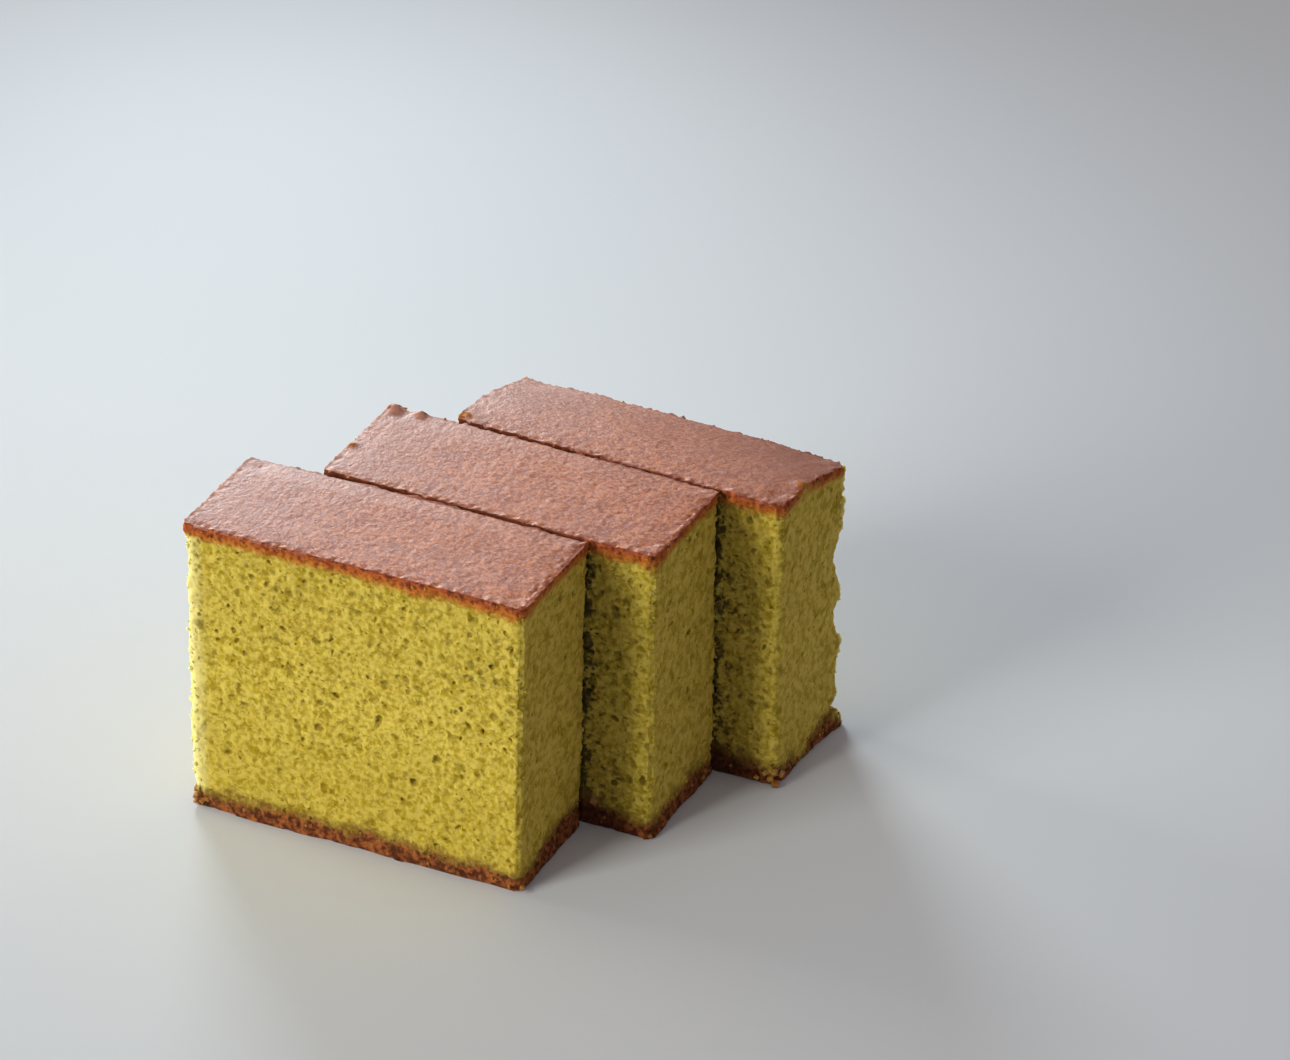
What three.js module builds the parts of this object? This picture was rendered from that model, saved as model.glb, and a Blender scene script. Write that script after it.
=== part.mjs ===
// Castella: a tall, plain sponge cake, green with powdered tea and browned on its top and bottom.
// The block is cut in three upright slices. They stand in a row on their browned bottoms, each
// slid a little further along its cut than the slice before it, and turned a degree or two.
// Units are millimetres. +X runs along the cuts, +Y from the front slice to the back one, +Z up.
import * as THREE from "three";
import { mergeVertices } from "three/addons/utils/BufferGeometryUtils.js";

// Driving dimensions of one slice.
const LENGTH = 64; // along the cut
const THICKNESS = 24.4; // between its two cut faces
const HEIGHT = 58; // from the browned bottom to the browned top

// The browned skins, which are part of each slice.
const TOP_SKIN = 1.3; // a thin, firm skin
const TOP_LIP = 0.35; // how far that skin stands out past the crumb under it
const BOTTOM_SKIN = 3.8; // a thicker, coarser layer
const BOTTOM_RAGGED = 0.55; // how far the coarse layer strays in and out

// The crumb between them.
const CRUMB_ROUGH = 0.3; // how far a cut face strays from flat
const CRUMB_GRAIN = 5; // how wide one such swell is
const FACE_SINK = 0.35; // how far the middle of a cut face sinks in as the crumb dries
const TOP_ROLL = 0.5; // how far the top falls towards its own edges
const ROLL_WIDTH = 2; // how far in from an edge that fall is felt
const CORNER_ROUND = 0.3; // how far every outer edge is worn in

// Spacing of the surface grid.
const GRID = 3.6;
const RIM = 0.9; // the narrow row beside each edge

// The three slices. slide and step place the left end of a slice's front face, turn is in degrees.
// flare is how far the right end leans out at the top. round_right wears away the upright edge at
// the front right. back_drop is how far the top falls at the slice's back edge, where the block's
// own side was, and corner_drop what its two back corners fall besides. tear lists how far the
// upright edge at the back right strays outwards, as pairs of height and distance.
const SLICES = [
  {
    name: "front_slice",
    slide: 0,
    step: 0,
    turn: 0,
    flare: 0.9,
    round_right: 0.3,
    back_drop: -0.4,
    corner_drop: 0.3,
    tear: [],
  },
  {
    name: "middle_slice",
    slide: 13.2,
    step: 26.4,
    turn: -1.2,
    flare: 0.2,
    round_right: 0.4,
    back_drop: -0.5,
    corner_drop: 0.2,
    tear: [],
  },
  {
    name: "back_slice",
    slide: 26,
    step: 52.4,
    turn: -2.3,
    flare: 0,
    round_right: 1.5,
    back_drop: 3.0,
    corner_drop: 0.8,
    tear: [
      [0, 1.0],
      [4, -0.7],
      [9, 0.2],
      [13, -0.7],
      [18, 0.3],
      [24.5, -1.4],
      [30, 0.5],
      [37.5, -1.4],
      [44, -0.1],
      [58, 0.2],
    ],
  },
];
const CORNER_REACH = 9; // how far along the top the fall of a back corner is felt
const BACK_FROM = 0.25; // the part of the thickness in front of which the top is level
const CORNER_FROM = 0.6; // the part of the thickness in front of which no corner has fallen
const FLARE_FROM = 0.6; // the part of the length where the right end starts to lean out
const TEAR_REACH = 5; // how far round the corner the torn edge is felt
const TEAR_DEPTH = 0.4; // how much of the tear runs across the slice, for each unit along it

const clamp01 = (t) => Math.min(1, Math.max(0, t));
const smooth = (low, high, value) => {
  const t = clamp01((value - low) / (high - low));
  return t * t * (3 - 2 * t);
};
const bell = (distance, width) => Math.exp(-((distance / width) ** 2));

// A repeatable random number from -1 to 1 for each point of a lattice.
const STIR = [374761393, 668265263, 2147483647, 974634777];
function latticeValue(i, j, k, seed) {
  const mixed = [i, j, k, seed].reduce((sum, value, n) => sum ^ Math.imul(value, STIR[n]), 0);
  const stirred = Math.imul(mixed ^ (mixed >>> 13), 1274126177);
  return ((stirred ^ (stirred >>> 16)) >>> 0) / 2 ** 31 - 1;
}

// Smooth swelling and sinking through space, from -1 to 1, with lumps about grain wide.
function swell(x, y, z, grain, seed) {
  const cell = [x, y, z].map((c) => Math.floor(c / grain));
  const part = [x, y, z].map((c, n) => smooth(0, 1, c / grain - cell[n]));
  let sum = 0;
  for (let corner = 0; corner < 8; corner++) {
    const on = [corner & 1, (corner >> 1) & 1, (corner >> 2) & 1];
    const weight = on.reduce((w, one, n) => w * (one ? part[n] : 1 - part[n]), 1);
    sum += weight * latticeValue(cell[0] + on[0], cell[1] + on[1], cell[2] + on[2], seed);
  }
  return sum;
}

// The grid lines along one side of the block: a narrow row at each end, even rows between.
function gridLines(total, first, last) {
  const lines = [0, ...first];
  const from = first[first.length - 1];
  const to = total - last[last.length - 1];
  const steps = Math.round((to - from) / GRID);
  for (let n = 1; n < steps; n++) lines.push(from + ((to - from) * n) / steps);
  return [...lines, ...last.map((d) => total - d).reverse(), total];
}
const LINES_X = gridLines(LENGTH, [RIM], [RIM]);
const LINES_Y = gridLines(THICKNESS, [RIM], [RIM]);
const LINES_Z = gridLines(HEIGHT, [TOP_SKIN, BOTTOM_SKIN], [TOP_SKIN, 2 * TOP_SKIN]);

// How high the top stands over a point of the slice's plan.
function topHeight(x, y, slice) {
  const side = Math.min(x, LENGTH - x, y, THICKNESS - y);
  const back = smooth(BACK_FROM * THICKNESS, THICKNESS, y);
  const corner = bell(Math.min(x, LENGTH - x), CORNER_REACH) * smooth(CORNER_FROM, 1, y / THICKNESS);
  return HEIGHT - TOP_ROLL * bell(side, ROLL_WIDTH) - slice.back_drop * back - slice.corner_drop * corner;
}

// How far the torn upright edge strays at a height.
function tearAt(z, tear) {
  for (let n = 1; n < tear.length; n++) {
    const [[low, first], [high, second]] = [tear[n - 1], tear[n]];
    if (z <= high) return first + (second - first) * smooth(low, high, z);
  }
  return 0;
}

// Moves one point of the plain block to its place on the real slice.
function shaped(x, y, z, slice, seed) {
  const side = { x: Math.sign(x - LENGTH / 2), y: Math.sign(y - THICKNESS / 2) };
  const onX = x === 0 || x === LENGTH;
  const onY = y === 0 || y === THICKNESS;
  const below = HEIGHT - z;
  const inCrumb = smooth(0, BOTTOM_SKIN, z) * smooth(0, 2 * TOP_SKIN, below);
  const inBottom = 1 - smooth(BOTTOM_SKIN, 2 * BOTTOM_SKIN, z);
  const lip = TOP_LIP * (1 - smooth(TOP_SKIN, 2 * TOP_SKIN, below));
  const ragged = BOTTOM_RAGGED * inBottom * swell(x, y, z, GRID, seed + 1);
  const rough = CRUMB_ROUGH * inCrumb * swell(x, y, z, CRUMB_GRAIN, seed);
  const sinkX = FACE_SINK * inCrumb * Math.sin((Math.PI * y) / THICKNESS);
  const sinkY = FACE_SINK * inCrumb * Math.sin((Math.PI * x) / LENGTH);
  const frontRight = side.x > 0 && side.y < 0;
  const worn = onX && onY ? CORNER_ROUND + (frontRight ? slice.round_right : 0) : 0;
  const out = lip + ragged + rough - worn;
  const flare = slice.flare * smooth(FLARE_FROM * LENGTH, LENGTH, x) * (z / HEIGHT);
  const nearTear = bell(LENGTH - x, TEAR_REACH) * bell(THICKNESS - y, TEAR_REACH);
  const tear = onX || onY ? tearAt(z, slice.tear) * nearTear : 0;
  const topWorn = z === HEIGHT && (onX || onY) ? CORNER_ROUND : 0;
  return new THREE.Vector3(
    x + (onX ? side.x * (out - sinkX) : 0) + tear + flare,
    y + (onY ? side.y * (out - sinkY) : 0) + TEAR_DEPTH * tear,
    (z * topHeight(x, y, slice)) / HEIGHT - topWorn,
  );
}

// One slice: a block whose surface grid is moved, point by point, to the slice's true form.
function sliceGeometry(slice, seed) {
  const steps = [LINES_X, LINES_Y, LINES_Z].map((lines) => lines.length - 1);
  const block = new THREE.BoxGeometry(1, 1, 1, ...steps);
  block.deleteAttribute("normal");
  block.deleteAttribute("uv");
  const geometry = mergeVertices(block, 1e-4);
  const points = geometry.getAttribute("position");
  const line = (lines, at) => lines[Math.round((at + 0.5) * (lines.length - 1))];
  for (let n = 0; n < points.count; n++) {
    const x = line(LINES_X, points.getX(n));
    const y = line(LINES_Y, points.getY(n));
    const z = line(LINES_Z, points.getZ(n));
    points.setXYZ(n, ...shaped(x, y, z, slice, seed).toArray());
  }
  geometry.computeVertexNormals();
  return geometry;
}

const crumb = new THREE.MeshStandardMaterial({ color: 0xa8902e, roughness: 0.95, metalness: 0 });

const cake = new THREE.Group();
SLICES.forEach((slice, n) => {
  const mesh = new THREE.Mesh(sliceGeometry(slice, 11 * (n + 1)), crumb);
  mesh.name = slice.name;
  mesh.position.set(slice.slide, slice.step, 0);
  mesh.rotation.z = THREE.MathUtils.degToRad(slice.turn);
  cake.add(mesh);
});

// The origin lies under the middle of the row, on the surface that the slices stand on.
const middle = new THREE.Box3().setFromObject(cake, true).getCenter(new THREE.Vector3());
cake.position.set(-middle.x, -middle.y, 0);

export default cake;
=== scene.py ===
# %% [markdown]
# # Green tea castella, from a bare block to a baked cake
#
# Castella is a tall, plain sponge. It rises in a wooden frame, so its top bakes to a thin, firm,
# red-brown skin, and its bottom to a coarse dark layer that holds grains of sugar. Green tea
# colours the crumb between them. The block is cut in three upright slices, and each one has been
# slid a little along its cut.
#
# The CAD model gives the three slices as closed solids, at their true size and place. This file
# loads them as a frame and dresses them. Lengths are in metres, +X runs along the slices, +Y to
# the back and +Z up.

# %% Load the CAD slices
import math

import bpy
import numpy as np
from mathutils import Matrix, Vector
from mathutils.bvhtree import BVHTree
from mathutils.kdtree import KDTree


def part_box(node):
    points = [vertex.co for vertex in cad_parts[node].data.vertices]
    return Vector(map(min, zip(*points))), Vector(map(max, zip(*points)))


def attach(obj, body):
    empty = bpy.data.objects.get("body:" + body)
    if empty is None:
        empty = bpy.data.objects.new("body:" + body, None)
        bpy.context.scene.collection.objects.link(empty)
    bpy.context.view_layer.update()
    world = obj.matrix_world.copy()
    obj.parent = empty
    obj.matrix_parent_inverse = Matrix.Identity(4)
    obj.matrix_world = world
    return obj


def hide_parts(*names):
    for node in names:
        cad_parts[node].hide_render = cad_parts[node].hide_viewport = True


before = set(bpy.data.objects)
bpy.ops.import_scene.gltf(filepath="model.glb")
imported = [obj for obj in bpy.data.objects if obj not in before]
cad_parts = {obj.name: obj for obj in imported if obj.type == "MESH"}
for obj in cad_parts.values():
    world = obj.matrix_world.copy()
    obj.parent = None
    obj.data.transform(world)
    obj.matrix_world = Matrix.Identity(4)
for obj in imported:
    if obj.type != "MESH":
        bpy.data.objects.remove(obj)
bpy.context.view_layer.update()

MM = 0.001
SLICES = ("front_slice", "middle_slice", "back_slice")

# %% [markdown]
# ## The camera
#
# The cake is looked at from a good metre away and from a little above, past its front right
# corner. A long lens keeps its upright edges nearly parallel. The camera could be aimed by hand,
# but three angles and three lengths say the same thing, and can be changed one at a time. Its
# axes are worked out from them and written into one matrix.

# %% Camera
AZIMUTH = math.radians(25.25)  # how far to the right of the front it stands
ELEVATION = math.radians(31.0)
ROLL = math.radians(0.5)
DISTANCE = 1155.7 * MM
SIDEWAYS = 21.5 * MM  # so that the cake stands left of the middle of the view
UPWARDS = 40.9 * MM  # and below it
LENS = 181.4  # mm, with a sensor 36 mm wide

back = Vector((
    math.sin(AZIMUTH) * math.cos(ELEVATION),
    -math.cos(AZIMUTH) * math.cos(ELEVATION),
    math.sin(ELEVATION),
))
level = Vector((math.cos(AZIMUTH), math.sin(AZIMUTH), 0))
right = Matrix.Rotation(ROLL, 3, back) @ level
up = back.cross(right)
camera_axes = Matrix((right, up, back)).transposed().to_4x4()
camera_place = back * DISTANCE + right * SIDEWAYS + up * UPWARDS

bpy.ops.object.camera_add()
camera = bpy.context.object
camera.name = "camera"
camera.matrix_world = Matrix.Translation(camera_place) @ camera_axes
camera.data.sensor_width = 36
camera.data.lens = LENS
camera.data.clip_start = 0.05
camera.data.clip_end = 20
bpy.context.scene.camera = camera
print("the camera stands at", [round(c / MM) for c in camera_place], "mm")

# %% [markdown]
# ## The floor and the light
#
# The cake stands on a plain pale floor. One large soft lamp at the front left lights the cut
# faces, so the right ends lie in soft shade. A second one, low behind the cake on the left,
# grazes the baked tops and gives them their pale sheen. Two weak ones with narrow beams pick out
# the left upright edges and the rims at the back. The sky is a weak, faintly pink grey that fills
# the shadows. A picture of a studio could light it too, but a lamp's place, size and colour are
# plain numbers to learn from, and a large lamp gives a soft shadow.

# %% Floor
FLOOR_SIDE = 6.0
FLOOR_GREY = (0.655, 0.695, 0.712, 1)
FLOOR_DROP = 0.02 * MM  # so that the floor and the undersides don't share a plane


def deselect():
    """Leaves edit mode and lets go of every object."""
    if bpy.context.object and bpy.context.object.mode != "OBJECT":
        bpy.ops.object.mode_set(mode="OBJECT")
    bpy.ops.object.select_all(action="DESELECT")


deselect()
bpy.ops.mesh.primitive_plane_add(size=FLOOR_SIDE, location=(0, 0, -FLOOR_DROP))
floor = bpy.context.object
floor.name = "floor"
floor_paint = bpy.data.materials.new("pale_floor")
floor_paint.use_nodes = True
floor_shader = floor_paint.node_tree.nodes["Principled BSDF"]
floor_shader.inputs["Base Color"].default_value = FLOOR_GREY
floor_shader.inputs["Roughness"].default_value = 0.8
floor_shader.inputs["Specular IOR Level"].default_value = 0.1
floor.data.materials.append(floor_paint)
print("the floor is", FLOOR_SIDE, "m wide")

# %% Lamps and sky
SKY_COLOUR = (0.96, 0.86, 0.93, 1)
SKY_STRENGTH = 0.29
CAKE_MIDDLE = Vector((0, 0, 30 * MM))


def soft_lamp(name, place, width, height, watts, colour, spread=180):
    """A rectangular lamp that looks at the cake. spread is how wide its beam is, in degrees."""
    bpy.ops.object.light_add(type="AREA", location=place)
    lamp = bpy.context.object
    lamp.name = name
    lamp.rotation_euler = (CAKE_MIDDLE - Vector(place)).to_track_quat("-Z", "Y").to_euler()
    lamp.data.shape = "RECTANGLE"
    lamp.data.size = width
    lamp.data.size_y = height
    lamp.data.energy = watts
    lamp.data.color = colour
    lamp.data.spread = math.radians(spread)
    return lamp


soft_lamp("key_lamp", (-0.48, -0.93, 0.44), 0.44, 0.80, 11.0, (1.0, 0.97, 0.90))
soft_lamp("sheen_lamp", (-0.33, 0.38, 0.20), 0.20, 0.14, 0.375, (0.86, 0.95, 1.0), 70)
soft_lamp("edge_lamp", (-0.45, 0.02, 0.10), 0.20, 0.16, 0.09, (1.0, 1.0, 0.92), 40)
soft_lamp("rim_lamp", (0.08, 0.66, 0.07), 0.16, 0.10, 0.05, (1.0, 1.0, 0.95), 60)
sky = bpy.data.worlds.new("studio")
sky.use_nodes = True
sky.node_tree.nodes["Background"].inputs["Color"].default_value = SKY_COLOUR
sky.node_tree.nodes["Background"].inputs["Strength"].default_value = SKY_STRENGTH
bpy.context.scene.world = sky
bpy.context.scene.view_settings.view_transform = "Standard"

# %% [markdown]
# ## One slice as a bare block
#
# A slice is nearly a block, but the CAD slice has worn corners, a torn edge and a skin that
# stands a little proud. So a cube is added at the slice's size, cut into fine squares, and
# wrapped onto the CAD slice as film wraps a parcel. It could be a copy of the CAD mesh instead,
# but its faces are long and uneven, and relief needs small even ones. A voxel remesh gives those,
# and softens the edges as a knife leaves them in sponge.

# %% A block wrapped onto a CAD slice
BLOCK_CUTS = 110
SKIN_SQUARE = 0.40 * MM  # the side of one face of the finished skin


def select_only(piece):
    deselect()
    piece.select_set(True)
    bpy.context.view_layer.objects.active = piece


def add_modifier(piece, kind, **settings):
    """Adds a modifier, gives it its settings and applies it."""
    modifier = piece.modifiers.new(kind.lower(), kind)
    for name, value in settings.items():
        setattr(modifier, name, value)
    select_only(piece)
    bpy.ops.object.modifier_apply(modifier=modifier.name)


def wrap(piece, node):
    """Draws a piece onto its CAD slice."""
    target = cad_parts[node]
    add_modifier(piece, "SHRINKWRAP", target=target, wrap_method="NEAREST_SURFACEPOINT")


def bare_block(node):
    low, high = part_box(node)
    deselect()
    bpy.ops.mesh.primitive_cube_add(size=1, location=(low + high) / 2, scale=high - low)
    block = bpy.context.object
    block.name = node.replace("slice", "sponge")
    bpy.ops.object.transform_apply(location=True, rotation=True, scale=True)
    bpy.ops.object.mode_set(mode="EDIT")
    bpy.ops.mesh.select_all(action="SELECT")
    bpy.ops.mesh.subdivide(number_cuts=BLOCK_CUTS)
    bpy.ops.object.mode_set(mode="OBJECT")
    wrap(block, node)
    add_modifier(block, "REMESH", mode="VOXEL", voxel_size=SKIN_SQUARE)
    wrap(block, node)
    return block


sponges = {node: bare_block(node) for node in SLICES}
for sponge in sponges.values():
    print(sponge.name, "starts with", len(sponge.data.polygons), "faces")

# %% [markdown]
# ## Where a point lies on its slice
#
# Relief and browning both depend on where a point lies: how far it is below the top, how far in
# from the sides, and whether it is on a long cut face, an end, the top or the bottom. Vertex
# groups and attributes can both carry such facts. The Displace modifiers need groups, so those
# are made here, and the materials get attributes later on.

# %% Places along and across a slice
BASE_LAYER = 3.8 * MM
TOP_HEIGHT = 58 * MM
HALF_LENGTH, HALF_THICKNESS = 32 * MM, 12.2 * MM
TURNS = {"front_slice": 0.0, "middle_slice": -1.2, "back_slice": -2.3}  # degrees


def corners(piece):
    """The vertices of a mesh as an array."""
    places = np.empty(len(piece.data.vertices) * 3)
    piece.data.vertices.foreach_get("co", places)
    return places.reshape(-1, 3)


def normals(piece):
    directions = np.empty(len(piece.data.vertices) * 3, dtype=np.float32)
    piece.data.vertices.foreach_get("normal", directions)
    return directions.reshape(-1, 3).astype(float)


def smooth(low, high, values):
    """Goes smoothly from 0 to 1 as values run from low to high."""
    t = np.clip((values - low) / (high - low), 0, 1)
    return t * t * (3 - 2 * t)


def turned(vectors, degrees):
    """Vectors turned about the upright axis."""
    cos, sin = math.cos(math.radians(degrees)), math.sin(math.radians(degrees))
    x, y = vectors[..., 0], vectors[..., 1]
    return np.stack([cos * x - sin * y, sin * x + cos * y, vectors[..., 2]], axis=-1)


def turned_back(vectors, node):
    """Vectors as they would be if the slice weren't turned."""
    return turned(vectors, -TURNS[node])


def slice_middle(node):
    low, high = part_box(node)
    return np.array([(low.x + high.x) / 2, (low.y + high.y) / 2, 0])


def on_slice(places, node):
    """Places along and across a slice, from its middle, with their height above the floor."""
    return turned_back(places - slice_middle(node), node)


def from_slice(lying, node):
    """The other way round: from places along and across a slice to places in the frame."""
    return turned(lying, TURNS[node]) + slice_middle(node)


for node in SLICES:
    print("the middle of", node, "stands at", np.round(slice_middle(node)[:2] / MM, 1), "mm")

# %% How high the top stands
TOP_GRID = 33  # how many places are measured along the top, and as many across it
TOP_REACH = 0.97  # how far out they go, as a part of the way to the edge


def top_heights(node):
    """The height of the CAD slice's top at a grid of places."""
    cad_tree = BVHTree.FromObject(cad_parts[node], bpy.context.evaluated_depsgraph_get())
    steps = np.linspace(-1, 1, TOP_GRID)
    along, across = np.meshgrid(steps * HALF_LENGTH * TOP_REACH, steps * HALF_THICKNESS * TOP_REACH)
    above = np.full(along.size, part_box(node)[1].z + MM)
    starts = from_slice(np.column_stack([along.ravel(), across.ravel(), above]), node)
    hits = [cad_tree.ray_cast(Vector(start), Vector((0, 0, -1)))[0].z for start in starts]
    return np.reshape(hits, along.shape)


tops = {node: top_heights(node) for node in SLICES}


def depth_below_top(places, node):
    """How far places lie below the CAD slice's top, in millimetres."""
    lying, grid, last = on_slice(places, node), tops[node], TOP_GRID - 1
    column = np.clip((lying[:, 0] / HALF_LENGTH / TOP_REACH + 1) * last / 2, 0, last - 0.001)
    row = np.clip((lying[:, 1] / HALF_THICKNESS / TOP_REACH + 1) * last / 2, 0, last - 0.001)
    i, j = row.astype(int), column.astype(int)
    u, v = row - i, column - j
    top = (grid[i, j] * (1 - v) + grid[i, j + 1] * v) * (1 - u)
    top += (grid[i + 1, j] * (1 - v) + grid[i + 1, j + 1] * v) * u
    return (top - places[:, 2]) / MM


for node, top in tops.items():
    print(node, "is", round(top.min() / MM, 1), "to", round(top.max() / MM, 1), "mm high")

# %% What a neighbour hides
SHOWN = 15 * MM  # how much of a long face shows past the slice beside it
FADE_OUT = 2 * MM  # over what length it goes from shown to hidden
# How squarely a face has to look some way: where it begins to count, and counts in full.
SIDE_ON, UPRIGHT, LEVEL = (0.4, 0.8), (0.5, 0.9), (0.6, 0.9)


def hidden(lying, facing, node):
    """1 where a neighbour covers a long cut face, and on the underside."""
    along, covered_to = lying[:, 0], HALF_LENGTH - SHOWN
    at_front = smooth(*SIDE_ON, -facing[:, 1])
    at_front = at_front * (1 - smooth(covered_to - FADE_OUT, covered_to, along))
    at_back = smooth(*SIDE_ON, facing[:, 1])
    at_back = at_back * smooth(-covered_to, FADE_OUT - covered_to, along)
    covered = at_front * (node != "front_slice") + at_back * (node != "back_slice")
    underneath = smooth(*LEVEL, -facing[:, 2]) * (lying[:, 2] < 0.5 * MM)
    return np.clip(covered + underneath, 0, 1)


def hidden_parts(piece, node):
    return hidden(on_slice(corners(piece), node), turned_back(normals(piece), node), node)


for node, sponge in sponges.items():
    print(f"{hidden_parts(sponge, node).mean():.0%} of {sponge.name} is hidden")

# %% Vertex groups for the long faces, the ends, the top, the base and the edges
END_EVEN = 0.75  # how much more even the crumb is on an end than on a long face
BASE_FOOT = 0.6 * MM  # the base layer is torn from this height up, and flat on the floor
LIP_HEIGHT = (6 * MM, 3 * MM)  # how far below the top the lip begins, and is full
EDGE_REACH = (0.3 * MM, 1.8 * MM)  # how far in from an upright edge its crumb is torn
RIM_REACH = (0.3 * MM, 1.5 * MM)  # how far in from its rim the top is torn
CORNER_REACH = (1 * MM, 3.5 * MM)  # how far in from an upright edge a clean cut smooths it
CLEAN_TEAR = 0.25  # how torn a cleanly cut upright edge is, where the others are 1
RIM_TEAR = {"back": 0.25, "left": 0.5, "elsewhere": 0.9}  # how torn the rim of the top is
AT_BACK, AT_LEFT = 11 * MM, -30 * MM  # where the back and the left of a top begin


def group_of(piece, name, weights):
    """A vertex group from one weight for each vertex, in steps of a tenth."""
    group = piece.vertex_groups.new(name=name)
    for step in range(1, 11):
        members = np.flatnonzero(np.round(weights * 10) == step)
        group.add(members.tolist(), step / 10, "REPLACE")


def mark_faces(piece, node):
    place, facing = corners(piece), turned_back(normals(piece), node)
    height, top_height = place[:, 2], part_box(node)[1].z
    sideways = 1 - smooth(*UPRIGHT, np.abs(facing[:, 2]))
    endways = smooth(*UPRIGHT, np.abs(facing[:, 0]))
    above_base = smooth(BASE_LAYER, 2 * BASE_LAYER, height)
    near_top = smooth(*(top_height - depth for depth in LIP_HEIGHT), height)
    group_of(piece, "crumb", sideways * above_base * (1 - END_EVEN * endways))
    group_of(piece, "top", smooth(*LEVEL, facing[:, 2]))
    group_of(piece, "base", sideways * (1 - above_base) * smooth(0, BASE_FOOT, height))
    group_of(piece, "lip", sideways * near_top * (1 - endways))


def mark_edges(piece, node):
    place = corners(piece)
    lying, below = on_slice(place, node), depth_below_top(place, node) * MM
    from_end, from_side = HALF_LENGTH - np.abs(lying[:, 0]), HALF_THICKNESS - np.abs(lying[:, 1])
    from_edge = np.hypot(from_end, from_side)
    upright_edge = 1 - smooth(*EDGE_REACH, from_edge)
    rim = 1 - smooth(*RIM_REACH, np.hypot(np.minimum(from_end, from_side), below))
    clean_cut = (lying[:, 0] > 0) & (lying[:, 1] < 0)
    group_of(piece, "corner", clean_cut * (1 - smooth(*CORNER_REACH, from_edge)))
    torn = upright_edge * smooth(0, 1 * MM, place[:, 2]) * np.where(clean_cut, CLEAN_TEAR, 1)
    rim_tear = np.where(lying[:, 0] < AT_LEFT, RIM_TEAR["left"], RIM_TEAR["elsewhere"])
    rim_tear = np.where(lying[:, 1] > AT_BACK, RIM_TEAR["back"], rim_tear)
    group_of(piece, "edges", np.maximum(torn, rim * rim_tear))
    last_corner = (lying[:, 0] > 0) & (lying[:, 1] > 0) & (node == "back_slice")
    group_of(piece, "fringe", upright_edge * last_corner)


for node, sponge in sponges.items():
    mark_faces(sponge, node)
    mark_edges(sponge, node)
    group_of(sponge, "hidden", hidden_parts(sponge, node))
print("each slice has the groups", [group.name for group in sponge.vertex_groups])

# %% [markdown]
# ## Soft relief
#
# The cut crumb is not flat: it swells and sinks by a few tenths of a millimetre, and a knife
# leaves small lumps standing. The bottom layer is rougher, because its sugar tears it, and the
# top skin has broad, shallow waves with a fine grain on them. Sculpting could do it, but would
# have to be done by hand for every slice. Displace modifiers with their own noise do it evenly,
# each held to its own part of the slice by a vertex group. The slices behind were cut with a
# duller stroke, so their lumps are higher.

# %% Swells of crumb, waves of skin and a torn base
ROUGHNESS = {"front_slice": 1.0, "middle_slice": 1.4, "back_slice": 1.4}
CORNER_SMOOTHING = {"front_slice": 2, "middle_slice": 5, "back_slice": 24}  # passes
LIP_FILL = 0.15 * MM  # how far the long faces come out just under the skin


def noise_texture(name, size, depth=2):
    texture = bpy.data.textures.new(name, "CLOUDS")
    texture.noise_scale = size
    texture.noise_depth = depth
    texture.noise_basis = "ORIGINAL_PERLIN"
    return texture


RELIEF = (  # the group that it is held to, its noise, and its height from valley to peak
    ("crumb", noise_texture("crumb_swell", 4 * MM), 0.7 * MM),
    ("crumb", noise_texture("crumb_lump", 1.0 * MM), 1.25 * MM),
    ("top", noise_texture("skin_wave", 7 * MM), 0.2 * MM),
    ("top", noise_texture("skin_grain", 1.0 * MM), 0.20 * MM),
    ("base", noise_texture("base_tear", 1.5 * MM), 1.6 * MM),
    ("edges", noise_texture("ragged_edge", 1.1 * MM, 4), 1.1 * MM),
    ("fringe", noise_texture("torn_fringe", 1.8 * MM), 2.2 * MM),
)
for node, sponge in sponges.items():
    passes = CORNER_SMOOTHING[node]
    add_modifier(sponge, "SMOOTH", vertex_group="corner", factor=0.5, iterations=passes)
    add_modifier(sponge, "DISPLACE", vertex_group="lip", strength=LIP_FILL, mid_level=0)
    for group, texture, height in RELIEF:
        height *= ROUGHNESS[node] if group == "crumb" else 1.0
        raising = {"texture": texture, "strength": height, "mid_level": 0.5}
        add_modifier(sponge, "DISPLACE", vertex_group=group, **raising)
print("each slice is raised by", [texture.name for _, texture, _ in RELIEF])

# %% Spend few faces where nothing shows
HIDDEN_KEPT = 0.1  # the part of the hidden faces that stays
for node, sponge in sponges.items():
    share = hidden_parts(sponge, node).mean()
    add_modifier(sponge, "DECIMATE", ratio=1 - share * (1 - HIDDEN_KEPT), vertex_group="hidden")
    print(sponge.name, "keeps", len(sponge.data.polygons), "faces")

# %% [markdown]
# ## The rim of the skin
#
# The CAD slice's top falls gently towards all its edges, and the real skin is nearly level right
# up to its cut rim, with a few bits torn up from it. Proportional editing would lift the rim, but
# it needs a hand that drags. Here each point near the rim is lifted by the part of the fall that
# should go, which is known from the CAD slice's own measures. The bits are small round bumps.

# %% Lift the rim, and raise the torn bits on it
# How far the CAD slice's top has fallen at some distances in from its edge, all in mm.
FALL_AT, FALL = (0, 1.2, 4.9), (0.8, 0.41, 0)
# The part of that fall that is taken back at the front edge, the back edge and the ends.
KEPT_LEVEL = {
    "front_slice": (0.75, 0.3, 0.8),
    "middle_slice": (0.85, 0.3, 0.8),
    "back_slice": (0.85, 0, 0.8),
}
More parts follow.
